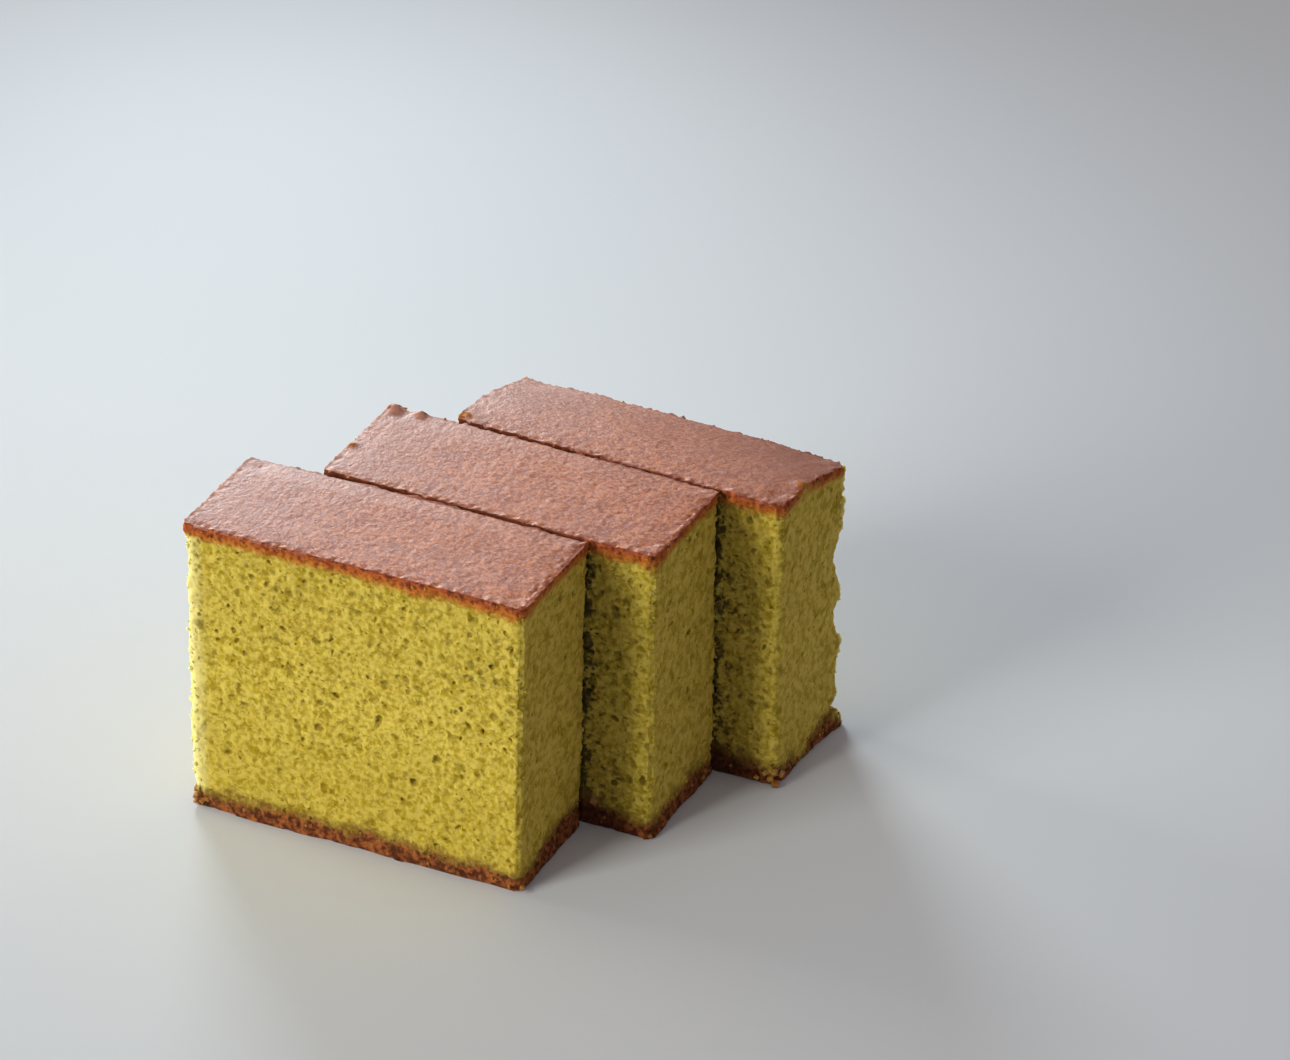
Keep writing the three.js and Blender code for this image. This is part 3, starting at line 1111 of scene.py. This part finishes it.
def browning():
    tree, given, result = new_group(
        "browning",
        {"Place": "Vector", "Below Top": "Float", "Above Base": "Float"},
        ("Skin", "Toast", "Damp", "Base"),
    )
    ragged = minus(tree, noise(tree, given["Place"], 0.9 * MM, 3.0, 0.6), 0.5)
    drifting = minus(tree, noise(tree, given["Place"], 5 * MM, 1.0), 0.5)

    def strayed(edge, finely, broadly):
        edge = plus(tree, edge, times(tree, ragged, finely))
        return plus(tree, edge, times(tree, drifting, broadly))

    top_edge = strayed(given["Below Top"], *TOP_STRAYS)
    base_edge = strayed(given["Above Base"], *BASE_STRAYS)
    tree.links.new(fade(tree, top_edge, *SKIN_FADES), result["Skin"])
    tree.links.new(fade(tree, top_edge, *TOAST_FADES), result["Toast"])
    tree.links.new(fade(tree, base_edge, *DAMP_FADES), result["Damp"])
    tree.links.new(fade(tree, base_edge, *BASE_FADES), result["Base"])
    return tree


BROWNING = browning()
print("browning has", len(BROWNING.nodes), "nodes")

# %% [markdown]
# ## The crumb
#
# Fresh green tea crumb is a warm yellow-green on its threads, and its holes and hollows get a dark
# olive painted shade. It lets light in a little way, which softens it and makes its thin edges
# glow; along two upright edges a pale glow is painted on as well. One material covers a whole cut
# face, from the red-brown edge of the skin to the torn base, because those run into each other
# without a seam. Several materials could share the face, but then each border would be as jagged
# as the mesh. The colours are laid over each other in this order: the fresh crumb with its painted
# glow, the painted shade on the torn faces and in the crevice, the painted shade in the holes, and
# what the oven browned.

# %% Helpers for materials


def new_material(name):
    """A material with its tree, its shader and the place of each point."""
    material = bpy.data.materials.new(name)
    material.use_nodes = True
    tree = material.node_tree
    place = add_node(tree, "TexCoord").outputs["Object"]
    return material, tree, tree.nodes["Principled BSDF"], place


def use_group(tree, group, **inputs):
    node = add_node(tree, "Group", {"node_tree": group})
    for name, value in inputs.items():
        tree.links.new(value, node.inputs[name.replace("_", " ")])
    return node.outputs


def read_attribute(tree, name):
    return add_node(tree, "Attribute", {"attribute_name": name}).outputs["Fac"]


def add_bump(tree, shader, height, strength, distance):
    bump = add_node(tree, "Bump", Height=height, Strength=strength, Distance=distance)
    tree.links.new(bump.outputs["Normal"], shader.inputs["Normal"])


def let_light_in(shader, weight, radius, depth):
    """Light spreads under the surface, by radius for red, green and blue, times a depth."""
    shader.inputs["Subsurface Weight"].default_value = weight
    shader.inputs["Subsurface Radius"].default_value = radius
    shader.inputs["Subsurface Scale"].default_value = depth


# %% Fresh crumb
CRUMB_LIGHT = (0.62, 0.495, 0.092)
CRUMB_DARK = (0.41, 0.305, 0.020)
# A lighter crumb for the ends: painted light that lifts their shade.
CRUMB_EVEN_LIT = (0.72, 0.505, 0.105)
# Painted shade for hollows and small pores.
CRUMB_SHADE = (0.29, 0.200, 0.005)
# Pale crumb for two upright edges: a painted glow, standing in for light that shines through them.
GLOW_CRUMB = (0.88, 0.82, 0.33)
CLOSED = (0.25, 0.45)  # how open the crumb is where it stops being as close as on an end


def fresh_crumb(tree, place, grain, open_and_shade):
    """Light threads over hollows with painted shade, closer and more even on the ends."""
    colour = blend(tree, grain["Threads"], CRUMB_DARK, CRUMB_LIGHT)
    # The ends get a lighter colour: painted light in place of more fill light on their shade.
    colour = blend(tree, fade(tree, open_and_shade, *CLOSED, 0.7), colour, CRUMB_EVEN_LIT)
    # Painted shade in the hollows shows a little less where the crumb is torn, and gives the ends
    # an even darker tint.
    hollows = times(tree, grain["Hollows"], fade(tree, open_and_shade, 0.40, 0.75, 0.9, 0.7))
    hollows = larger(tree, hollows, fade(tree, open_and_shade, 0.40, 0.60, 0.22))
    colour = blend(tree, hollows, colour, CRUMB_SHADE)
    # The ends get a mottled painted shade instead, because their pores are small and close.
    mottle = noise(tree, stray(tree, place, *WANDER), 1.5 * MM, 4.0, 0.62)
    mottle = times(tree, grow(tree, mottle, 0.40, 0.66), fade(tree, open_and_shade, *CLOSED, 0.72))
    colour = blend(tree, mottle, colour, CRUMB_SHADE)
    # The painted glow along two upright edges comes last, so they stay pale all over.
    edge_glow = fade(tree, read_attribute(tree, "from_glow_edges"), 0.0, 3.5, 0.8)
    return blend(tree, edge_glow, colour, GLOW_CRUMB)


# %% Torn crumb and holes, with painted shade
# Colours of painted shade: in the holes, on the torn faces, and deepest in holes and in the crevice
# beside the slice in front.
PIT_SHADE = (0.16, 0.115, 0.003)
TORN_CRUMB_SHADE = (0.20, 0.125, 0.020)
DEEP_SHADE = (0.022, 0.015, 0.010)


def tear_and_shade(tree, colour, place, grain, open_and_shade, torn):
    """Painted shade on the torn faces: a dark tint, blots, and a dark crevice beside the slice in
    front, where shade falls.
    """
    colour = blend(tree, times(tree, torn, 0.35), colour, TORN_CRUMB_SHADE)
    # Blots are the painted shade of the wide holes of torn crumb, nearly one in each cell of their
    # pattern.
    blots = specks(tree, stray(tree, place, 1.1 * MM, 2.0 * MM), 2.1 * MM, 0.9, 0.48)
    colour = blend(tree, times(tree, blots, times(tree, torn, 0.75)), colour, DEEP_SHADE)
    # The crevice gets painted shade in patches, and the light threads stand out of it longest.
    shade_patches = times(tree, minus(tree, noise(tree, place, 3.4 * MM, 3.0), 0.5), 1.9)
    crevice = plus(tree, open_and_shade, times(tree, grain["Threads"], -0.35))
    crevice = grow(tree, plus(tree, crevice, shade_patches), 0.95, 1.25, 0.8)
    return blend(tree, crevice, colour, DEEP_SHADE)


def paint_hole_shade(tree, colour, grain, open_and_shade):
    """Painted shade in the pores of the mesh, more where they are deeper, and in the smaller ones
    of the grain, darkest in the crevice.
    """
    hole = grow(tree, read_attribute(tree, "pit_depth"), 0.0, 0.7, 0.6)
    pits = times(tree, grain["Pits"], fade(tree, open_and_shade, 0.25, 0.75, 0.55, 1.0))
    deep = blend(tree, grow(tree, open_and_shade, 0.8, 1.1), PIT_SHADE, DEEP_SHADE)
    return blend(tree, times(tree, larger(tree, hole, pits), 0.75), colour, deep)


# %% Browned crumb
TOAST_LIGHT = (0.46, 0.15, 0.020)
TOAST_DARK = (0.24, 0.055, 0.012)
SKIN_EDGE_LIGHT = (0.38, 0.090, 0.024)
SKIN_EDGE_DARK = (0.13, 0.032, 0.015)
DAMP_CRUMB = (0.20, 0.115, 0.020)
BASE_LIGHT = (0.35, 0.110, 0.030)
BASE_DARK = (0.085, 0.024, 0.009)
BASE_TORN_SHADE = (0.040, 0.013, 0.010)


def brown_crumb(tree, colour, place, grain, open_and_shade, torn):
    """The toasted band and the skin's cut edge above, with painted shade in the seam, the damp band
    and the base layer below.
    """
    below_top, above_base = read_attribute(tree, "below_top"), read_attribute(tree, "above_base")
    brown = use_group(tree, BROWNING, Place=place, Below_Top=below_top, Above_Base=above_base)
    # Painted shade: beside the slice in front and in the seam, where shade falls, the toasted band
    # and the skin's cut edge turn dark.
    seam_shade = grow(tree, open_and_shade, 0.95, 1.4, 0.9)
    toast = blend(tree, grain["Threads"], TOAST_DARK, TOAST_LIGHT)
    crust = blend(tree, grain["Threads"], SKIN_EDGE_DARK, SKIN_EDGE_LIGHT)
    colour = blend(tree, brown["Toast"], colour, blend(tree, seam_shade, toast, SKIN_EDGE_DARK))
    colour = blend(tree, brown["Skin"], colour, blend(tree, seam_shade, crust, SKIN_EDGE_DARK))
    base = grow(tree, noise(tree, place, 1.2 * MM, 3.0, 0.6), 0.38, 0.68)
    base = blend(tree, base, BASE_DARK, BASE_LIGHT)
    # The base layer is darker on the torn faces, partly as painted shade, because their crevice
    # lies in shadow.
    base = blend(tree, times(tree, torn, 0.7), base, BASE_TORN_SHADE)
    colour = blend(tree, times(tree, brown["Damp"], 0.8), colour, DAMP_CRUMB)
    return blend(tree, brown["Base"], colour, base)


# %% Crumb material
CRUMB_BUMP = 0.36 * MM


def crumb_material(name, glow):
    """Crumb of any browning. glow is how much of the light passes through it."""
    material, tree, shader, place = new_material(name)
    grain = use_group(tree, GRAIN, Place=place)
    open_and_shade = read_attribute(tree, "open_and_shade")
    # Torn crumb, which here also marks where painted shade goes on the faces beside the slice in
    # front.
    torn = grow(tree, open_and_shade, 0.6, 1.0)
    colour = fresh_crumb(tree, place, grain, open_and_shade)
    colour = tear_and_shade(tree, colour, place, grain, open_and_shade, torn)
    colour = paint_hole_shade(tree, colour, grain, open_and_shade)
    colour = brown_crumb(tree, colour, place, grain, open_and_shade, torn)
    tree.links.new(colour, shader.inputs["Base Color"])
    height = times(tree, grain["Height"], fade(tree, open_and_shade, 0.2, 0.6, 0.22, 0.75))
    add_bump(tree, shader, height, 0.8, CRUMB_BUMP)
    shader.inputs["Roughness"].default_value = 0.85
    shader.inputs["Specular IOR Level"].default_value = 0.08
    let_light_in(shader, glow, (1.0, 0.8, 0.2), 2.2 * MM)
    return material


green_crumb, thin_crumb = crumb_material("green_crumb", 0.5), crumb_material("thin_crumb", 0.7)
print("crumb has", len(green_crumb.node_tree.nodes), "nodes")

# %% [markdown]
# ## The top skin and the underside
#
# The top skin is dry and finely wrinkled, like leather, and has a few pinholes. It is redder and
# darker at its rim, where it was cut. Towards the left a pale painted sheen is laid on its colour;
# the rest of its sheen is the shader's own: a rough surface lit from low behind it. A glossy coat
# would give one too, but as a wet shine, which a dry skin lacks. The underside is the base layer,
# pressed flat.

# %% Skin material
SKIN_LIGHT = (0.66, 0.235, 0.095)
SKIN_DARK = (0.32, 0.080, 0.030)
SKIN_DEEP = (0.25, 0.070, 0.028)
# A pale, greyish colour for the left of the tops: painted sheen.
SKIN_SHEEN = (0.48, 0.290, 0.240)
SKIN_RIM = (0.24, 0.050, 0.022)
PINHOLE = (0.07, 0.02, 0.012)
SKIN_BUMP = 0.11 * MM
# Where the skin changes, along lines across the tops that run from the left to the right.
DEEPENS, SHEEN_FADES = (25 * MM, 80 * MM), (-42 * MM, 5 * MM)
RIM_DARKENS, WRINKLES_FADE = (-25 * MM, 5 * MM), (-30 * MM, 10 * MM)


def skin_colour(tree, place, wrinkle, to_back_right, from_left):
    """Light wrinkles over dark, deeper at the back right, with a pale painted sheen at the left."""
    tone = times(tree, noise(tree, place, 5.0 * MM, 2.0, 0.5), 0.2)
    tone = grow(tree, plus(tree, wrinkle, tone), 0.43, 0.75)
    colour = blend(tree, tone, SKIN_DARK, SKIN_LIGHT)
    colour = blend(tree, grow(tree, to_back_right, *DEEPENS, 0.75), colour, SKIN_DEEP)
    return blend(tree, fade(tree, from_left, *SHEEN_FADES, 0.55), colour, SKIN_SHEEN)


def skin_material():
    material, tree, shader, place = new_material("baked_skin")
    wrinkle = times(tree, domes(tree, place, 0.50 * MM), 0.26)
    wrinkle = plus(tree, wrinkle, times(tree, noise(tree, place, 0.8 * MM, 3.0, 0.6), 0.70))
    spot = add_node(tree, "SeparateXYZ", Vector=place).outputs
    to_back_right = plus(tree, spot["X"], spot["Y"])
    from_left = minus(tree, spot["X"], times(tree, spot["Y"], 0.5))
    colour = skin_colour(tree, place, wrinkle, to_back_right, from_left)
    ragged = times(tree, minus(tree, noise(tree, place, 1.2 * MM, 3.0), 0.5), 1.6)
    in_from_rim = plus(tree, read_attribute(tree, "in_from_rim"), ragged)
    rim = fade(tree, in_from_rim, -0.25, 0.35, 0.75)
    rim = times(tree, rim, fade(tree, from_left, *RIM_DARKENS, 0.35, 1.0))
    colour = blend(tree, rim, colour, SKIN_RIM)
    pinholes = specks(tree, place, 1.7 * MM, 0.10, 0.16)
    tree.links.new(blend(tree, pinholes, colour, PINHOLE), shader.inputs["Base Color"])
    height = minus(tree, wrinkle, times(tree, pinholes, 0.5))
    height = times(tree, height, fade(tree, from_left, *WRINKLES_FADE, 1.6, 0.8))
    add_bump(tree, shader, height, 0.9, SKIN_BUMP)
    tree.links.new(fade(tree, rim, 0.0, 0.5, 0.52, 0.8), shader.inputs["Roughness"])
    shader.inputs["Specular IOR Level"].default_value = 0.45
    let_light_in(shader, 0.1, (1.0, 0.3, 0.15), 0.6 * MM)
    return material


def underside_material():
    material, tree, shader, place = new_material("baked_underside")
    tone = grow(tree, noise(tree, place, 1.5 * MM, 4.0, 0.6), 0.4, 0.62)
    tree.links.new(blend(tree, tone, BASE_DARK, BASE_LIGHT), shader.inputs["Base Color"])
    add_bump(tree, shader, noise(tree, place, 0.6 * MM, 3.0), 0.8, 0.3 * MM)
    shader.inputs["Roughness"].default_value = 0.6
    return material


baked_skin, baked_underside = skin_material(), underside_material()
print("skin has", len(baked_skin.node_tree.nodes), "nodes")

# %% [markdown]
# ## Amber sugar
#
# Half melted sugar is clear but stained by the browned batter. It is shiny, lets a little light
# through, and varies from pale straw to dark amber. Full glass would be nearly invisible at this
# size and slow to render, so a glossy surface over scattered light stands for it.

# %% Sugar material
SUGAR_PALE = (0.38, 0.22, 0.045)
SUGAR_AMBER = (0.30, 0.12, 0.016)


def sugar_material():
    material, tree, shader, place = new_material("amber_sugar")
    stain = grow(tree, noise(tree, place, 2.5 * MM, 2.0), 0.42, 0.62)
    tree.links.new(blend(tree, stain, SUGAR_AMBER, SUGAR_PALE), shader.inputs["Base Color"])
    add_bump(tree, shader, noise(tree, place, 0.4 * MM, 2.0), 0.4, 0.1 * MM)
    shader.inputs["Roughness"].default_value = 0.18
    let_light_in(shader, 0.6, (1.0, 0.5, 0.15), 0.8 * MM)
    return material


amber_sugar = sugar_material()
print("sugar has", len(amber_sugar.node_tree.nodes), "nodes")

# %% [markdown]
# ## Finish the pieces
#
# Each slice wears three of the materials. Seams could be marked and painted by hand, but the
# skin is simply what faces up near the top, and the underside what faces down at the floor.
# Every piece then rides on the one body, and each dressed slice takes its CAD slice's place.

# %% Put the materials on the slices
CUT, TOP, UNDER = 0, 1, 2
SKIN_DEPTH = 1.2  # no face of the skin lies further below the top, in mm
RIM_WIDTH = 0.4  # mm
LOOKS_UP, LOOKS_UP_AT_RIM = 0.5, 0.85  # how far up a face of the skin has to look
LOOKS_DOWN, UNDER_HEIGHT = -0.6, 0.6 * MM  # a face of the underside, and where it lies
CREASE = math.radians(75)  # sharper edges than this keep their crease


def finish_of_faces(piece):
    """The number of the material that each face wears."""
    below, rim = np.empty((2, len(piece.data.vertices)), np.float32)
    piece.data.attributes["below_top"].data.foreach_get("value", below)
    piece.data.attributes["in_from_rim"].data.foreach_get("value", rim)
    choice = []
    for face in piece.data.polygons:
        ends, up = list(face.vertices), face.normal.z
        looks_up = up > (LOOKS_UP if rim[ends].min() > RIM_WIDTH else LOOKS_UP_AT_RIM)
        if looks_up and below[ends].max() < SKIN_DEPTH:
            choice.append(TOP)
        elif up < LOOKS_DOWN and face.center.z < UNDER_HEIGHT:
            choice.append(UNDER)
        else:
            choice.append(CUT)
    return choice


def finish_slice(piece, node):
    """Gives each face its material, shades the piece smooth and ties it to the frame."""
    piece.data.materials.clear()
    for material in (green_crumb, baked_skin, baked_underside):
        piece.data.materials.append(material)
    piece.data.polygons.foreach_set("material_index", finish_of_faces(piece))
    select_only(piece)
    bpy.ops.object.shade_smooth_by_angle(angle=CREASE)
    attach(piece, "root")
    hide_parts(node)


for node, sponge in sponges.items():
    finish_slice(sponge, node)
    sponge.data.calc_loop_triangles()
    print(sponge.name, "has", len(sponge.data.loop_triangles), "triangles")

# %% Finish the crumbs and the sugar
for node, crumbs in crumb_pieces.items():
    crumbs.data.materials.append(thin_crumb)
    select_only(crumbs)
    bpy.ops.object.shade_smooth()
    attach(crumbs, "root")
sugar.data.materials.append(amber_sugar)
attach(sugar, "root")
print("pieces:", [piece.name for piece in (*sponges.values(), *crumb_pieces.values(), sugar)])
